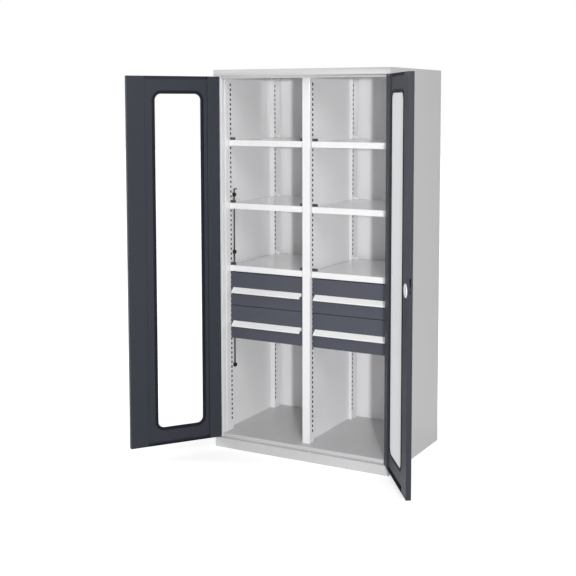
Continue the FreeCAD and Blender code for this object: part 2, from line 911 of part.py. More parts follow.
def make_lock():
    """Lock of the right door: escutcheon in the dish, turn grip, cam, case, cover and two rods."""
    plate_front = dish_floor - s.escutcheon_thickness
    bore = s.spindle_diameter + s.spindle_play
    lock_z = s.lock_height

    body = door_body("lock_escutcheon", 1)
    plate_half = s.escutcheon_width / 2
    plate_rise = s.escutcheon_height / 2
    plate = RoundedRectangle(
        lock_x - plate_half,
        lock_z - plate_rise,
        lock_x + plate_half,
        lock_z + plate_rise,
        s.escutcheon_radius,
    )
    extrude(body, "XZ", plate_front, dish_floor, plate, Circle(lock_x, lock_z, bore))

    body = door_body("lock_cover", 1)
    cover = Circle(lock_x, lock_z, s.lock_cover_diameter)
    extrude(body, "XZ", door_inner, door_inner + s.lock_cover_thickness, cover)

    body = door_body("lock_grip", 1)
    bar_back = plate_front - s.grip_bar_stand
    bar_half = s.grip_bar_length / 2
    bar_rise = s.grip_bar_width / 2
    bar_shoulder = bar_half - s.grip_bar_taper
    bar = Polygon(
        (lock_x - bar_half, lock_z),
        (lock_x - bar_shoulder, lock_z - bar_rise),
        (lock_x + bar_shoulder, lock_z - bar_rise),
        (lock_x + bar_half, lock_z),
        (lock_x + bar_shoulder, lock_z + bar_rise),
        (lock_x - bar_shoulder, lock_z + bar_rise),
    )
    extrude(body, "XZ", door_outer - s.grip_bar_proud, bar_back, bar)
    spindle_end = case_front + s.case_thickness / 2
    extrude(body, "XZ", bar_back, spindle_end, Circle(lock_x, lock_z, s.spindle_diameter))

    body = door_body("lock_cam", 1)
    cam_half = s.cam_sheet / 2
    wide, narrow = s.cam_width / 2, s.cam_nose / 2
    arm = Polygon(
        (lock_x - wide, lock_z - s.cam_heel),
        (lock_x + wide, lock_z - s.cam_heel),
        (lock_x + wide, lock_z + s.cam_heel),
        (lock_x + narrow, lock_z + s.cam_reach),
        (lock_x - narrow, lock_z + s.cam_reach),
        (lock_x - wide, lock_z + s.cam_heel),
    )
    extrude(body, "XZ", -cam_half, cam_half, arm, Circle(lock_x, lock_z, bore))

    body = door_body("lock_case", 1)
    case_back = door_inner - s.door_sheet
    case_half = s.case_height / 2
    case_edge = lock_x - s.case_offset
    box = rectangle(case_edge, lock_z - case_half, case_edge + s.case_width, lock_z + case_half)
    extrude(body, "XZ", case_front, case_back, box)
    cut(body, "XZ", case_front, case_back, Circle(lock_x, lock_z, bore))
    track_half = s.rod_tab_width / 2 + s.rod_play
    track_end = s.rod_tab_depth + s.rod_sheet / 2 + s.rod_play
    for way in (1, -1):
        near = lock_z + way * (s.rod_tail - s.rod_play)
        far = lock_z + way * (s.rod_tail + s.rod_tab_height + s.rod_throw + s.rod_play)
        track = rectangle(rod_x - track_half, near, rod_x + track_half, far)
        cut(body, "XZ", case_front, track_end, track)

    ends = {"upper": (1, door_high), "lower": (-1, door_low)}
    for name, (way, end) in ends.items():
        body = door_body(f"lock_{name}_rod", 1)
        half = s.rod_width / 2
        tail = lock_z + way * s.rod_tail
        bar = rectangle(rod_x - half, tail, rod_x + half, end)
        extrude(body, "XZ", -(s.rod_sheet / 2), s.rod_sheet / 2, bar)
        tab_half = s.rod_tab_width / 2
        tab = rectangle(rod_x - tab_half, tail, rod_x + tab_half, tail + way * s.rod_tab_height)
        extrude(body, "XZ", s.rod_sheet / 2, s.rod_sheet / 2 + s.rod_tab_depth, tab)


def make_side_rod():
    """Round rod along the left wall, held by buttons with an open groove."""
    wall_face = -(half_width - wall)
    rod_at = wall_face + s.side_rod_reach
    rod_y = front + s.side_rod_setback

    rod = new_body("side_rod")
    top = s.side_rod_low + s.side_rod_length
    extrude(rod, "XY", s.side_rod_low, top, Circle(rod_at, rod_y, s.side_rod_diameter))

    clips = new_body("side_rod_clips")
    half = s.side_clip_size / 2
    flat = half - s.side_clip_chamfer
    middle = s.side_rod_low + half
    button = Polygon(
        (rod_y - flat, middle - half),
        (rod_y + flat, middle - half),
        (rod_y + half, middle - flat),
        (rod_y + half, middle + flat),
        (rod_y + flat, middle + half),
        (rod_y - flat, middle + half),
        (rod_y - half, middle + flat),
        (rod_y - half, middle - flat),
    )
    head = rod_at + s.side_clip_overhang
    block = extrude(clips, "YZ", wall_face, head, button)
    grip = s.side_rod_diameter / 2 + s.side_clip_play
    mouth = rectangle(rod_at - grip, rod_y - grip, head, rod_y + grip)
    groove = cut(clips, "XY", middle - half, middle + half, mouth)
    repeat(clips, [block, groove], s.side_clip_spacing, s.side_clip_count)


def build():
    for name, side in SIDES.items():
        make_side_panel(name, side)
        make_side_upright(f"{name}_front_upright", side, upright_front, front_slot)
        make_side_upright(f"{name}_rear_upright", side, upright_rear - s.upright_depth, rear_slot)
    make_top_cover()
    make_plinth()
    make_floor_panel()
    make_back_panel()
    make_partition()
    for bay, side in SIDES.items():
        for row, level in enumerate(("low", "middle", "high")):
            make_shelf(f"{bay}_{level}_shelf", side, row)
        for row, low in DRAWER_ROWS.items():
            make_drawer(f"{bay}_{row}_drawer", side, low)
    make_slides()
    make_shelf_clips()
    for name, side in SIDES.items():
        make_door_skin(name, side)
        make_door_stiffeners(name, side)
        make_window(name, side)
    make_pivot_pins()
    make_lock()
    make_side_rod()


def check():
    """Stops if any feature failed, any cut took nothing away or any shape is not sound."""
    for thing in doc.Objects:
        if "Invalid" in thing.State or "Error" in thing.State:
            raise RuntimeError(f"{thing.Label} failed: {thing.State}")
    for pocket in cuts:
        if not pocket.Shape.Volume < pocket.BaseFeature.Shape.Volume:
            raise RuntimeError(f"{pocket.Label} cuts nothing")
    for body in bodies:
        if body.Shape.isNull() or not body.Shape.isValid():
            raise RuntimeError(f"{body.Label} has no sound shape")


build()
doc.recompute()
check()
os.makedirs("parts", exist_ok=True)
for body in bodies:
    body.Shape.exportStep(f"parts/{body.Label}.step")
print(len(bodies), "nodes written")
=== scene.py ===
import json
import math

import bmesh
import bpy
from mathutils import Matrix, Vector

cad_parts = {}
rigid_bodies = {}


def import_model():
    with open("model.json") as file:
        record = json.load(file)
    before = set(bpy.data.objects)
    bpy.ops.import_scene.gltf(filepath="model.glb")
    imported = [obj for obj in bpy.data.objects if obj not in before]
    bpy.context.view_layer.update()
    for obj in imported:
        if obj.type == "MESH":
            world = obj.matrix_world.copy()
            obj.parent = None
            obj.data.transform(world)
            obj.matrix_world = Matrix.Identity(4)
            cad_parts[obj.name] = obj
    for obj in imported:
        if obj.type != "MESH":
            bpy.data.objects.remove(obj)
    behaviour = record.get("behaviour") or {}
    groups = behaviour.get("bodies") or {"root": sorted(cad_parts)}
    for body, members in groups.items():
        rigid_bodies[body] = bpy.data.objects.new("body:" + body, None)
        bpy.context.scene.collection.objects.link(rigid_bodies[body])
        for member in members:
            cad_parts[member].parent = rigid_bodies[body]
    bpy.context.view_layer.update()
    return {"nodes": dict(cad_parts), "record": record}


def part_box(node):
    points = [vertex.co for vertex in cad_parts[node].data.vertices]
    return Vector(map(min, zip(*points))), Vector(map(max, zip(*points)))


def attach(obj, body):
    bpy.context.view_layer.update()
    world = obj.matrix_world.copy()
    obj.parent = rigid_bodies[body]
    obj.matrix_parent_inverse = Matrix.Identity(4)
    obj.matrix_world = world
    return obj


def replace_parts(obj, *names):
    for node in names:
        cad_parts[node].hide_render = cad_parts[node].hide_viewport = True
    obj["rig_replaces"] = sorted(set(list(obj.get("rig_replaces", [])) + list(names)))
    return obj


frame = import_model()

MM = 0.001
BEHAVIOUR = frame["record"]["behaviour"]
BODY_OF = {node: body for body, nodes in BEHAVIOUR["bodies"].items() for node in nodes}
SLOT_OF = {part["node"]: part["material_slot"] for part in frame["record"]["subparts"]}
JOINTS = {joint["name"]: joint for joint in BEHAVIOUR["joints"]}

# The two sides of the cabinet, each with its direction along X
SIDES = {"left": -1, "right": 1}


# Shader helpers
NOISE_LOW, NOISE_HIGH = 0.3, 0.7


def srgb(red, green, blue):
    """A colour given as 0 to 255 values of the picture, in the renderer's own linear values."""
    def linear(value):
        value /= 255
        return value / 12.92 if value <= 0.04045 else ((value + 0.055) / 1.055) ** 2.4
    return (linear(red), linear(green), linear(blue), 1)


def scaled(colour, factor):
    return tuple(channel * factor for channel in colour[:3]) + (1,)


class Nodes:
    """The node tree of a material or world, with short ways to add nodes to it."""

    def __init__(self, owner):
        owner.use_nodes = True
        self.tree = owner.node_tree

    def feed(self, socket, value):
        """Links a socket to another one, or sets it to a constant."""
        if isinstance(value, bpy.types.NodeSocket):
            self.tree.links.new(value, socket)
        else:
            socket.default_value = value

    def add(self, kind, **inputs):
        node = self.tree.nodes.new(kind)
        for name, value in inputs.items():
            self.feed(node.inputs[name.replace("_", " ")], value)
        return node

    def combine(self, operation, first, second):
        """The result of a sum, product or the like of two values."""
        node = self.add("ShaderNodeMath")
        node.operation = operation
        self.feed(node.inputs[0], first)
        self.feed(node.inputs[1], second)
        return node.outputs[0]


class Shader(Nodes):
    """A material with a principled surface and procedural textures in object space."""

    def __init__(self, name):
        self.material = bpy.data.materials.new(name)
        super().__init__(self.material)
        self.surface = self.tree.nodes["Principled BSDF"]
        self.coords = self.add("ShaderNodeTexCoord").outputs["Object"]

    def set(self, name, value):
        self.feed(self.surface.inputs[name], value)

    def noise(self, size, detail, stretch=(1, 1, 1)):
        """Cloudy values, mostly from NOISE_LOW to NOISE_HIGH, about as large as the given size."""
        coords = self.add("ShaderNodeMapping", Vector=self.coords, Scale=stretch).outputs[0]
        node = self.add("ShaderNodeTexNoise", Vector=coords, Scale=1 / size, Detail=detail)
        return node.outputs["Fac"]

    def tint(self, factor, colour, darkest, lightest):
        """A colour that goes from its darkest to its lightest share with the factor."""
        node = self.add("ShaderNodeValToRGB", Fac=factor)
        stops = ((NOISE_LOW, darkest), (NOISE_HIGH, lightest))
        for stop, (place, share) in zip(node.color_ramp.elements, stops):
            stop.position = place
            stop.color = scaled(colour, share)
        return node.outputs["Color"]

    def spread(self, factor, low, high, start=NOISE_LOW, end=NOISE_HIGH):
        """A number that goes from low to high while the factor goes from start to end."""
        inputs = {"From_Min": start, "From_Max": end, "To_Min": low, "To_Max": high}
        return self.add("ShaderNodeMapRange", Value=factor, **inputs).outputs["Result"]

    def bump(self, height, strength, distance):
        node = self.add("ShaderNodeBump", Height=height, Strength=strength, Distance=distance)
        return node.outputs["Normal"]


# Materials: sizes in the paint, and how far the roughness of each kind swings
PAINT_GRAIN = 1.2 * MM
FINE_GRAIN = 0.8 * MM
PAINT_DRIFT = 0.35
PAINT_SWING = 0.06
STEEL_SWING = 0.08
PLASTIC_SWING = 0.05


def powder_coat(name, colour, roughness, bump, unevenness=0.012, grain=PAINT_GRAIN, gloss=0.5):
    """Sprayed and baked paint: an even colour with faint drifts and a fine pebbled surface."""
    shader = Shader(name)
    drift = shader.noise(PAINT_DRIFT, detail=3)
    pebbles = shader.noise(grain, detail=2)
    shader.set("Base Color", shader.tint(drift, colour, 1 - unevenness, 1 + unevenness))
    shader.set("Roughness", shader.spread(
        pebbles, roughness - PAINT_SWING, roughness + PAINT_SWING
    ))
    shader.set("Specular IOR Level", gloss)
    shader.set("Normal", shader.bump(pebbles, strength=bump, distance=0.2 * MM))
    return shader.material


def plated_steel(name, colour, roughness, crystal):
    """Zinc-plated sheet: grey metal with faint crystals and drawn lines."""
    shader = Shader(name)
    crystals = shader.add("ShaderNodeTexVoronoi", Vector=shader.coords, Scale=1 / crystal)
    lines = shader.noise(size=1 * MM, detail=2, stretch=(1, 0.02, 1))
    shader.set("Base Color", shader.tint(
        crystals.outputs["Color"], colour, darkest=0.88, lightest=1.08
    ))
    shader.set("Metallic", 1)
    shader.set("Roughness", shader.spread(
        lines, roughness - STEEL_SWING, roughness + STEEL_SWING
    ))
    shader.set("Normal", shader.bump(lines, strength=0.1, distance=0.1 * MM))
    return shader.material


def soft_rubber(name, colour):
    """Extruded rubber: dark, with a faint dull bloom and fine pores."""
    shader = Shader(name)
    bloom = shader.noise(size=25 * MM, detail=4)
    pores = shader.noise(size=0.4 * MM, detail=1)
    shader.set("Base Color", shader.tint(bloom, colour, darkest=0.8, lightest=1.3))
    shader.set("Roughness", shader.spread(bloom, low=0.6, high=0.75))
    shader.set("Specular IOR Level", 0.2)
    shader.set("Normal", shader.bump(pores, strength=0.15, distance=0.1 * MM))
    return shader.material


def moulded_plastic(name, colour, roughness):
    """Injection-moulded plastic with a fine eroded surface."""
    shader = Shader(name)
    drift = shader.noise(size=40 * MM, detail=3)
    erosion = shader.noise(size=0.35 * MM, detail=1)
    shader.set("Base Color", shader.tint(drift, colour, darkest=0.96, lightest=1.03))
    shader.set("Roughness", shader.spread(
        erosion, roughness - PLASTIC_SWING, roughness + PLASTIC_SWING
    ))
    shader.set("Normal", shader.bump(erosion, strength=0.08, distance=0.1 * MM))
    return shader.material


def clear_pane(name, colour):
    """Clear acrylic sheet: almost nothing shows from the front, and a pale veil at a slant."""
    shader = Shader(name)
    slant = shader.add("ShaderNodeLayerWeight", Blend=0.5).outputs["Facing"]
    waves = shader.noise(size=0.3, detail=1)
    shader.set("Base Color", colour)
    shader.set("Roughness", shader.spread(waves, low=0.47, high=0.53))
    shader.set("Sheen Weight", 0.5)
    shader.set("Alpha", shader.spread(slant, low=0.03, high=0.95, start=0.3, end=0.85))
    return shader.material


LIGHT_GREY = srgb(203, 203, 204)
PALE_GREY = srgb(239, 239, 240)
ANTHRACITE = srgb(46, 49, 57)
DRAWER_GREY = srgb(69, 72, 82)
WHITE = srgb(248, 248, 248)

PAINTS = {
    "body_paint": {"colour": LIGHT_GREY, "roughness": 0.3, "bump": 0.08},
    "inner_paint": {"colour": PALE_GREY, "roughness": 0.13, "bump": 0.02},
    "box_paint": {"colour": LIGHT_GREY, "roughness": 0.45, "bump": 0.12},
    # Near-black paint on the hollow insides of the uprights and posts, and on the partition's end
    # inside the rear post: painted shade, so the slots look dark.
    "inner_primer": {
        "colour": srgb(26, 26, 28), "roughness": 0.7, "bump": 0.12, "unevenness": 0.1, "gloss": 0.2,
    },
    "door_paint": {
        "colour": ANTHRACITE, "roughness": 0.5, "bump": 0.2, "unevenness": 0.05, "gloss": 0.22,
    },
    "drawer_paint": {
        "colour": DRAWER_GREY, "roughness": 0.5, "bump": 0.2, "unevenness": 0.05, "gloss": 0.4,
    },
    "grip_white": {
        "colour": WHITE, "roughness": 0.35, "bump": 0.08, "unevenness": 0.01, "grain": FINE_GRAIN,
    },
    "clip_steel": {
        "colour": srgb(56, 56, 58), "roughness": 0.35, "bump": 0.1, "unevenness": 0.05,
        "grain": FINE_GRAIN,
    },
    "black_steel": {
        "colour": srgb(34, 34, 36), "roughness": 0.4, "bump": 0.1, "unevenness": 0.05,
        "grain": FINE_GRAIN,
    },
}
STEELS = {
    "slide_steel": {"colour": srgb(200, 202, 206), "roughness": 0.35, "crystal": 4 * MM},
    "zinc_steel": {"colour": srgb(188, 190, 194), "roughness": 0.38, "crystal": 3 * MM},
    "lock_metal": {"colour": srgb(196, 198, 200), "roughness": 0.3, "crystal": 2 * MM},
}
PLASTICS = {
    "lock_white": {"colour": WHITE, "roughness": 0.4},
    "black_plastic": {"colour": srgb(28, 28, 30), "roughness": 0.45},
}
RUBBERS = {"gasket_rubber": {"colour": srgb(14, 15, 25)}}
PANES = {"window_clear": {"colour": srgb(244, 246, 248)}}

LOOKS = (
    (powder_coat, PAINTS),
    (plated_steel, STEELS),
    (moulded_plastic, PLASTICS),
    (soft_rubber, RUBBERS),
    (clear_pane, PANES),
)
MATERIALS = {name: make(name, **look) for make, looks in LOOKS for name, look in looks.items()}

# Pieces inside the cabinet, in a paler paint than its shell
INNER_NODES = {
    node for node in SLOT_OF
    if node.endswith(("_upright", "_post", "_shelf")) or node == "partition_panel"
}


def paint_of(node):
    """The main material of a node: that of its slot, unless the scene has a closer one."""
    if node in INNER_NODES:
        return MATERIALS["inner_paint"]
    return MATERIALS["clip_steel" if node == "shelf_clips" else SLOT_OF[node]]


# Mesh helpers
SHEET_BEND = 2 * MM
INNER_BEND = 0.5 * MM
BEND_STEPS = 3
EDGE_ROUNDING = 0.35 * MM
EDGE_STEPS = 2
BROAD_FACE = 5 * MM
MERGE_DISTANCE = 0.001 * MM
FLAT_ANGLE = math.radians(1)
SHARP_ANGLE = math.radians(35)
MOULDED_SHARP_ANGLE = math.radians(50)

ROUND_EDGES = ("BEVEL", {
    "width": EDGE_ROUNDING,
    "segments": EDGE_STEPS,
    "limit_method": "ANGLE",
    "angle_limit": SHARP_ANGLE,
    "use_clamp_overlap": True,
})
WEIGHT_NORMALS = ("WEIGHTED_NORMAL", {"keep_sharp": False, "weight": 60})


def finish_piece(mesh, node, *more):
    """Makes the piece that stands for a node, with the node's material and body. Where more
    materials are given, the faces keep the material numbers that they have."""
    name = f"{node}_piece"
    mesh.name = name
    indices = [face.material_index if more else 0 for face in mesh.polygons]
    mesh.materials.clear()
    for material in (paint_of(node), *more):
        mesh.materials.append(material)
    mesh.polygons.foreach_set("material_index", indices)
    piece = bpy.data.objects.new(name, mesh)
    bpy.context.scene.collection.objects.link(piece)
    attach(piece, BODY_OF[node])
    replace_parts(piece, node)


def use_second_material(faces, chosen):
    """Gives the second material to the faces that a test chooses."""
    for face in faces:
        if chosen(face):
            face.material_index = 1


def evaluated(name, data, modifiers=()):
    """The final mesh of object data with modifiers, each given as its kind and settings."""
    carrier = bpy.data.objects.new(name, data)
    bpy.context.scene.collection.objects.link(carrier)
    for number, (kind, settings) in enumerate(modifiers):
        modifier = carrier.modifiers.new(f"step_{number}", kind)
        for key, value in settings.items():
            setattr(modifier, key, value)
    bpy.context.view_layer.update()
    graph = bpy.context.evaluated_depsgraph_get()
    result = bpy.data.meshes.new_from_object(carrier.evaluated_get(graph))
    bpy.data.objects.remove(carrier)
    return result


def to_mesh(name, shape):
    """A smooth-shaded mesh of a finished bmesh."""
    mesh = bpy.data.meshes.new(name)
    for face in shape.faces:
        face.smooth = True
    shape.to_mesh(mesh)
    shape.free()
    return mesh


def to_moulded_mesh(name, shape):
    """A mesh of a closed form whose faces were made in any direction."""
    bmesh.ops.recalc_face_normals(shape, faces=shape.faces)
    mesh = to_mesh(name, shape)
    mesh.set_sharp_from_angle(angle=MOULDED_SHARP_ANGLE)
    return mesh


def breadth(face):
    """The width of a face, if it is a long strip."""
    return 2 * face.calc_area() / face.calc_perimeter()


def folds(shape, convex):
    """Sharp edges between two broad faces: the folds of a sheet, outer ones or inner ones."""
    found = []
    for edge in shape.edges:
        if len(edge.link_faces) == 2 and edge.calc_face_angle() > SHARP_ANGLE:
            broad = min(breadth(face) for face in edge.link_faces) > BROAD_FACE
            if broad and edge.is_convex == convex:
                found.append(edge)
    return found


def round_folds(shape):
    for convex, radius in ((True, SHEET_BEND), (False, INNER_BEND)):
        bmesh.ops.bevel(
            shape,
            geom=folds(shape, convex),
            offset=radius,
            segments=BEND_STEPS,
            profile=0.5,
            affect="EDGES",
            clamp_overlap=True,
        )


def soften(node):
    """The mesh of a CAD node with bent folds and rounded edges."""
    shape = bmesh.new()
    shape.from_mesh(frame["nodes"][node].data)
    bmesh.ops.remove_doubles(shape, verts=shape.verts, dist=MERGE_DISTANCE)
    bmesh.ops.dissolve_limit(
        shape, angle_limit=FLAT_ANGLE, verts=shape.verts, edges=shape.edges
    )
    round_folds(shape)
    return evaluated(node, to_mesh(node, shape), (ROUND_EDGES, WEIGHT_NORMALS))


# Slotted uprights, with slots over their whole height
SLOT_FIRST = 119 * MM
SLOT_PITCH = 25 * MM
SLOT_WIDTH = 11 * MM
SLOT_HEIGHT = 14 * MM
SLOT_INSET = 15 * MM
REAR_SLOT_INSET = 10 * MM
SLOT_TOP_MARGIN = 75 * MM
UPRIGHT_SHEET = 1.5 * MM
POST_LIP_GAP = 4 * MM
LEVEL_FACE = 0.5

THICKEN = ("SOLIDIFY", {"thickness": UPRIGHT_SHEET, "offset": -1, "use_even_offset": True})


def sheet_rows(low, high):
    """Heights that part a slotted sheet into rows, plain ones and rows of a slot by turns."""
    count = int((high - SLOT_TOP_MARGIN - SLOT_FIRST) / SLOT_PITCH) + 1
    rows = [low]
    for number in range(count):
        base = SLOT_FIRST + number * SLOT_PITCH
        rows += [base, base + SLOT_HEIGHT]
    return rows + [high]


def add_run(shape, start, end, rows, slot_at):
    """Adds one flat run of a sheet between two plan points, with a column of slots unless slot_at
    is None."""
    start, end = Vector(start), Vector(end)
    cuts = [0, 1]
    if slot_at is not None:
        length = (end - start).length
        middle = abs(slot_at - start.y)
        cuts[1:1] = [(middle - SLOT_WIDTH / 2) / length, (middle + SLOT_WIDTH / 2) / length]
    for column, (near, far) in enumerate(zip(cuts, cuts[1:])):
        for row, (base, top) in enumerate(zip(rows, rows[1:])):
            if column == 1 and row % 2 == 1:
                continue
            corners = [(near, base), (far, base), (far, top), (near, top)]
            places = [(*start.lerp(end, share), height) for share, height in corners]
            shape.faces.new([shape.verts.new(place) for place in places])


def make_folded_sheet(node, route, slotted, slot_at):
    """A sheet along a route of plan points, with slots in the numbered runs and its inside in
    near-black paint, as painted shade of the hollow behind the slots."""
    low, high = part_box(node)
    rows = sheet_rows(low.z, high.z)
    shape = bmesh.new()
    for run, (start, end) in enumerate(zip(route, route[1:])):
        add_run(shape, start, end, rows, slot_at if run in slotted else None)
    bmesh.ops.remove_doubles(shape, verts=shape.verts, dist=MERGE_DISTANCE)
    thick = evaluated(node, to_mesh(node, shape), (THICKEN,))
    shape = bmesh.new()
    shape.from_mesh(thick)
    round_folds(shape)
    mesh = evaluated(node, to_mesh(node, shape), (WEIGHT_NORMALS,))
    middle = (low + high) / 2

    # Faces that look into the hollow get the near-black painted shade.
    def looks_inside(face):
        normal, centre = face.normal, face.center
        inward = normal.x * (middle.x - centre.x) + normal.y * (middle.y - centre.y)
        return inward > 0 and abs(normal.z) < LEVEL_FACE

    use_second_material(mesh.polygons, looks_inside)
    finish_piece(mesh, node, MATERIALS["inner_primer"])


def slot_column(node, at_front):
    """The place of an upright's slots along Y."""
    low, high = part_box(node)
    return high.y - SLOT_INSET if at_front else low.y + REAR_SLOT_INSET


def make_side_upright(node, at_front):
    """Closed box section against a side wall, with slots in the face towards the shelves."""
    low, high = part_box(node)
    on_left = low.x < 0
    face, foot = (high.x, low.x) if on_left else (low.x, high.x)
    route = [(foot, low.y), (face, low.y), (face, high.y), (foot, high.y), (foot, low.y)]
    slotted_run = 1
    if not on_left:
        route.reverse()
        slotted_run = 2
    make_folded_sheet(node, route, {slotted_run}, slot_column(node, at_front))


def make_post(node, at_front):
    """Channel at an end of the partition, with slots in both flanks and lips at its mouth."""
    low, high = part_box(node)
    web, mouth = (low.y, high.y) if at_front else (high.y, low.y)
    lip = POST_LIP_GAP / 2
    route = [
        (-lip, mouth),
        (low.x, mouth),
        (low.x, web),
        (high.x, web),
        (high.x, mouth),
        (lip, mouth),
    ]
    flank_runs = {1, 3}
    if not at_front:
        route.reverse()
    make_folded_sheet(node, route, flank_runs, slot_column(node, at_front))


def make_uprights():
    for side in SIDES:
        make_side_upright(f"{side}_front_upright", True)
        make_side_upright(f"{side}_rear_upright", False)
    make_post("partition_front_post", True)
    make_post("partition_rear_post", False)


# Sheets and clips in two paints
OUTWARD_FACE = 0.7


def make_shell_panel(node, outward):
    """Sheet of the shell, with the paler paint on all but the face that looks outward."""
    mesh = soften(node)
    use_second_material(
        mesh.polygons, lambda face: face.normal.dot(Vector(outward)) < OUTWARD_FACE
    )
    finish_piece(mesh, node, MATERIALS["inner_paint"])


def make_partition_panel():
    """Flat sheet, near-black where it stands inside the rear post: painted shade of the post's
    hollow.
    """
    node = "partition_panel"
    # Behind this depth the sheet gets the near-black painted shade of the post's hollow.
    painted_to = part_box("partition_rear_post")[0].y + UPRIGHT_SHEET
    shape = bmesh.new()
    shape.from_mesh(soften(node))
    everything = shape.verts[:] + shape.edges[:] + shape.faces[:]
    bmesh.ops.bisect_plane(
        shape, geom=everything, plane_co=(0, painted_to, 0), plane_no=(0, 1, 0)
    )
    use_second_material(
        shape.faces, lambda face: face.calc_center_median().y > painted_to
    )
    finish_piece(to_mesh(node, shape), node, MATERIALS["inner_primer"])


def make_shelf_clips():
    """Clips of the shelves: the front ones dark grey, the rear ones painted with the uprights."""
    node = "shelf_clips"
    low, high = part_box(node)
    mesh = soften(node)
    use_second_material(mesh.polygons, lambda face: face.center.y > (low.y + high.y) / 2)
    finish_piece(mesh, node, MATERIALS["inner_paint"])


# Door frames
def door_frame(side):
    """The turn and place of a door's own frame: X along the door, Y through it to the inside."""
    hinge = JOINTS[f"{side}_door_hinge"]
    place = Vector(hinge["pos_m"])
    angle = -SIDES[side] * math.radians(hinge["range_deg"][0])
    return Matrix.Translation((place.x, place.y, 0)) @ Matrix.Rotation(angle, 4, "Z")


def box_in(turn, node):
    """Lowest and highest corners of a node in a turned frame."""
    back = turn.inverted()
    points = [back @ vertex.co for vertex in frame["nodes"][node].data.vertices]
    low = Vector([min(point[axis] for point in points) for axis in range(3)])
    high = Vector([max(point[axis] for point in points) for axis in range(3)])
    return low, high


# Window gaskets
GASKET_RADIUS = 48 * MM
GASKET_LIP = 16 * MM
GASKET_CROWN = 3 * MM
GASKET_CHAMFER = 1 * MM
PANE = 4 * MM
PANE_GROOVE = 10 * MM
COLLAR_INSET = 8 * MM
CORNER_STEPS = 10
CROWN_STEPS = 8


def rounded_path(low, high, radius):
    """Points of a rounded rectangle in the XZ plane, each with its direction inwards."""
    corners = ((high.x, high.z), (low.x, high.z), (low.x, low.z), (high.x, low.z))
    path = []
    for quarter, (x, z) in enumerate(corners):
        centre_x = x - math.copysign(radius, x - (low.x + high.x) / 2)
        centre_z = z - math.copysign(radius, z - (low.z + high.z) / 2)
        for step in range(CORNER_STEPS + 1):
            angle = math.pi / 2 * (quarter + step / CORNER_STEPS)
            way = Vector((math.cos(angle), 0, math.sin(angle)))
            path.append((Vector((centre_x, 0, centre_z)) + way * radius, -way))
    return path


def gasket_section(face):
    """Section of the gasket as distances inwards from its outer edge and heights: a crowned lip
    over the liner and the pane, and a groove round the pane's edge."""
    crown = []
    for step in range(CROWN_STEPS + 1):
        across = step / CROWN_STEPS
        rise = GASKET_CROWN * math.sqrt(math.sin(math.pi * across))
        crown.append((GASKET_LIP * across, face + rise))
    low = face - PANE - GASKET_CROWN / 2
    groove = [
        (PANE_GROOVE, face),
        (PANE_GROOVE, face - PANE),
        (GASKET_LIP, face - PANE),
        (GASKET_LIP - GASKET_CHAMFER, low),
        (COLLAR_INSET, low),
        (COLLAR_INSET, face),
    ]
    return crown + groove


def make_gasket(side):
    """Rubber profile swept round the window."""
    node = f"{side}_door_gasket"
    turn = door_frame(side)
    low, high = box_in(turn, node)
    lip_face = box_in(turn, f"{side}_door_pane")[1].y
    section = gasket_section(lip_face)
    shape = bmesh.new()
    rings = []
    for point, inward in rounded_path(low, high, GASKET_RADIUS):
        ring = []
        for distance, height in section:
            place = point + inward * distance
            ring.append(shape.verts.new(turn @ Vector((place.x, height, place.z))))
        rings.append(ring)
    for ring, following in zip(rings, rings[1:] + rings[:1]):
        for i in range(len(section)):
            j = (i + 1) % len(section)
            shape.faces.new((ring[i], ring[j], following[j], following[i]))
    finish_piece(to_moulded_mesh(node, shape), node)


# Lock cover
COVER_RIM = 2.2 * MM
COVER_RIM_STEPS = 4
COVER_SPOKES = 64
# The sunk middle and the rim's inner edge, as shares of the radius and of the thickness
COVER_MIDDLE = ((0, 0.75), (0.55, 0.78), (0.72, 1))


def cover_profile(radius, thickness):
    """Distances from the axis and heights, from the middle over the soft rim to the foot."""
    profile = [(out * radius, up * thickness) for out, up in COVER_MIDDLE]
    for step in range(COVER_RIM_STEPS + 1):
        angle = math.pi / 2 * (1 - step / COVER_RIM_STEPS)
        out = radius - COVER_RIM + COVER_RIM * math.cos(angle)
        profile.append((out, thickness - COVER_RIM + COVER_RIM * math.sin(angle)))
    return profile + [(radius, 0)]


def make_lock_cover():
    """Shallow round cap with a soft rim and a slightly sunk middle."""
    node = "lock_cover"
    turn = door_frame("right")
    low, high = box_in(turn, node)
    centre = (low + high) / 2
    shape = bmesh.new()
    rings = []
    for distance, height in cover_profile((high.x - low.x) / 2, high.y - low.y):
        ring = []
        for spoke in range(COVER_SPOKES if distance else 1):
            angle = 2 * math.pi * spoke / COVER_SPOKES
            x = centre.x + distance * math.cos(angle)
            z = centre.z + distance * math.sin(angle)
            ring.append(shape.verts.new(turn @ Vector((x, low.y + height, z))))
        rings.append(ring)
    for inner, outer in zip(rings, rings[1:]):
        for i in range(COVER_SPOKES):
            j = (i + 1) % COVER_SPOKES
            corners = [inner[i % len(inner)], outer[i], outer[j]]
            if len(inner) > 1:
                corners.append(inner[j])
            shape.faces.new(corners)
    shape.faces.new(rings[-1])
    finish_piece(to_moulded_mesh(node, shape), node)


# Thin rod on the left wall
HOOK_LENGTH = 22 * MM
HOOK_BEND = 14 * MM
WIRE_ROUNDNESS = 5
WIRE_STEPS = 10
WIRE_ORDER = 3


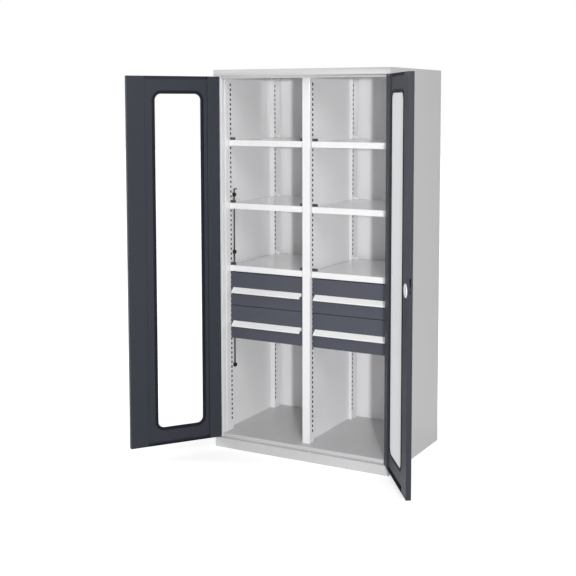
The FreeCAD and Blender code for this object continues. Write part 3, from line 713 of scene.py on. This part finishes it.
def make_side_rod():
    """Round wire, straight along the wall, its upper end bent to the back."""
    node = "side_rod"
    low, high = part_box(node)
    radius = (high.x - low.x) / 2
    x, y = (low.x + high.x) / 2, (low.y + high.y) / 2
    top = high.z - radius
    route = [
        (x, y, low.z),
        (x, y, top - HOOK_BEND),
        (x, y, top),
        (x, y + HOOK_BEND, top),
        (x, y + HOOK_LENGTH, top),
    ]
    wire = bpy.data.curves.new(node, "CURVE")
    wire.dimensions = "3D"
    wire.bevel_depth = radius
    wire.bevel_resolution = WIRE_ROUNDNESS
    wire.resolution_u = WIRE_STEPS
    wire.use_fill_caps = True
    spline = wire.splines.new("NURBS")
    spline.points.add(len(route) - 1)
    for point, place in zip(spline.points, route):
        point.co = (*place, 1)
    spline.order_u = WIRE_ORDER
    spline.use_endpoint_u = True
    finish_piece(evaluated(node, wire), node)


def dress_nodes():
    """Gives each CAD node its material, and a softened copy to those that no piece shows yet."""
    shown = {node for piece in bpy.data.objects for node in piece.get("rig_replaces", [])}
    panes = {f"{side}_door_pane" for side in SIDES}
    for node, part in frame["nodes"].items():
        part.data.materials.clear()
        part.data.materials.append(paint_of(node))
        if node not in shown | panes:
            finish_piece(soften(node), node)


# Stage: sizes in metres, power in watts
FLOOR_REACH = 30
FLOOR_COLOUR = (0.8, 0.8, 0.8, 1)
# The floor's own glow near the object, and the distances between which it grows to white
FLOOR_GLOW = 0.54
SHADOW_REACH = (0.5, 1.35)
WORLD_COLOUR = (1, 1, 1, 1)
WORLD_LIGHT = 0.2
LAMP_TARGET = (0, 0.2, 1.0)
LAMPS = {
    "key": {"place": (3.69, -5.5, 1.86), "size": 0.25, "power": 262},
    "top": {"place": (2.6, -3.0, 4.0), "size": 2.5, "power": 60},
    "fill": {"place": (-5.6, -2.4, 1.9), "size": 1.5, "power": 130},
}


def background_share(nodes):
    """1 for rays that show the background: from the camera, in reflections and through glass."""
    path = nodes.add("ShaderNodeLightPath").outputs
    share = path["Is Camera Ray"]
    for other in ("Is Glossy Ray", "Is Transmission Ray"):
        share = nodes.combine("MAXIMUM", share, path[other])
    return share


def floor_material():
    """Pale matt surface with a glow that grows with the distance from the object."""
    material = bpy.data.materials.new("floor")
    nodes = Nodes(material)
    nodes.tree.nodes.clear()
    distance = nodes.add("ShaderNodeVectorMath")
    distance.operation = "LENGTH"
    nodes.feed(distance.inputs[0], nodes.add("ShaderNodeTexCoord").outputs["Object"])
    near, far = SHADOW_REACH
    level = nodes.add(
        "ShaderNodeMapRange",
        Value=distance.outputs["Value"],
        From_Min=near,
        From_Max=far,
        To_Min=FLOOR_GLOW,
        To_Max=1,
    )
    level.interpolation_type = "SMOOTHSTEP"
    shown = nodes.combine("MULTIPLY", level.outputs["Result"], background_share(nodes))
    both = nodes.add("ShaderNodeAddShader")
    nodes.feed(both.inputs[0], nodes.add("ShaderNodeBsdfDiffuse", Color=FLOOR_COLOUR).outputs[0])
    nodes.feed(both.inputs[1], nodes.add("ShaderNodeEmission", Strength=shown).outputs[0])
    nodes.add("ShaderNodeOutputMaterial", Surface=both.outputs[0])
    return material


def make_floor():
    """Pale floor that fades into the white background and keeps the object's shadow."""
    mesh = bpy.data.meshes.new("floor")
    reach = FLOOR_REACH
    corners = [(-reach, -reach, 0), (reach, -reach, 0), (reach, reach, 0), (-reach, reach, 0)]
    mesh.from_pydata(corners, [], [(0, 1, 2, 3)])
    mesh.materials.append(floor_material())
    floor = bpy.data.objects.new("floor", mesh)
    bpy.context.scene.collection.objects.link(floor)


def make_world():
    """White to the camera and in reflections, and a softer grey as light on the object."""
    world = bpy.data.worlds.new("studio")
    bpy.context.scene.world = world
    nodes = Nodes(world)
    share = background_share(nodes)
    level = nodes.add("ShaderNodeMapRange", Value=share, To_Min=WORLD_LIGHT, To_Max=1)
    background = nodes.tree.nodes["Background"].inputs
    nodes.feed(background["Color"], WORLD_COLOUR)
    nodes.feed(background["Strength"], level.outputs["Result"])


def make_lamp(name, place, size, power):
    data = bpy.data.lights.new(name, "AREA")
    data.shape = "DISK"
    data.size = size
    data.energy = power
    lamp = bpy.data.objects.new(name, data)
    lamp.location = place
    aim = Vector(LAMP_TARGET) - Vector(place)
    lamp.rotation_euler = aim.to_track_quat("-Z", "Y").to_euler()
    bpy.context.scene.collection.objects.link(lamp)


# Camera of the photograph: its image in pixels, sensor in millimetres, place in metres and turn in
# degrees. AXIS_AT is where its axis meets the image.
IMAGE_SIDE = 576
FOCAL_LENGTH = 1083.1
AXIS_AT = (306.8, 198.8)
SENSOR = 36
CAMERA_PLACE = (2.5465, -4.634, 1.7782)
CAMERA_YAW = 28.3324
CAMERA_PITCH = -5


def make_camera():
    data = bpy.data.cameras.new("camera")
    data.sensor_width = SENSOR
    data.lens = FOCAL_LENGTH / IMAGE_SIDE * SENSOR
    data.shift_x = (IMAGE_SIDE / 2 - AXIS_AT[0]) / IMAGE_SIDE
    data.shift_y = (AXIS_AT[1] - IMAGE_SIDE / 2) / IMAGE_SIDE
    camera = bpy.data.objects.new("camera", data)
    camera.location = CAMERA_PLACE
    camera.rotation_euler = (math.radians(90 + CAMERA_PITCH), 0, math.radians(CAMERA_YAW))
    bpy.context.scene.collection.objects.link(camera)
    bpy.context.scene.camera = camera


make_uprights()
make_partition_panel()
make_shelf_clips()
for side, direction in SIDES.items():
    make_shell_panel(f"{side}_side_panel", (direction, 0, 0))
make_shell_panel("back_panel", (0, 1, 0))
for side in SIDES:
    make_gasket(side)
make_lock_cover()
make_side_rod()
dress_nodes()

make_floor()
make_world()
for name, lamp in LAMPS.items():
    make_lamp(name, **lamp)
make_camera()
bpy.context.scene.view_settings.view_transform = "Standard"
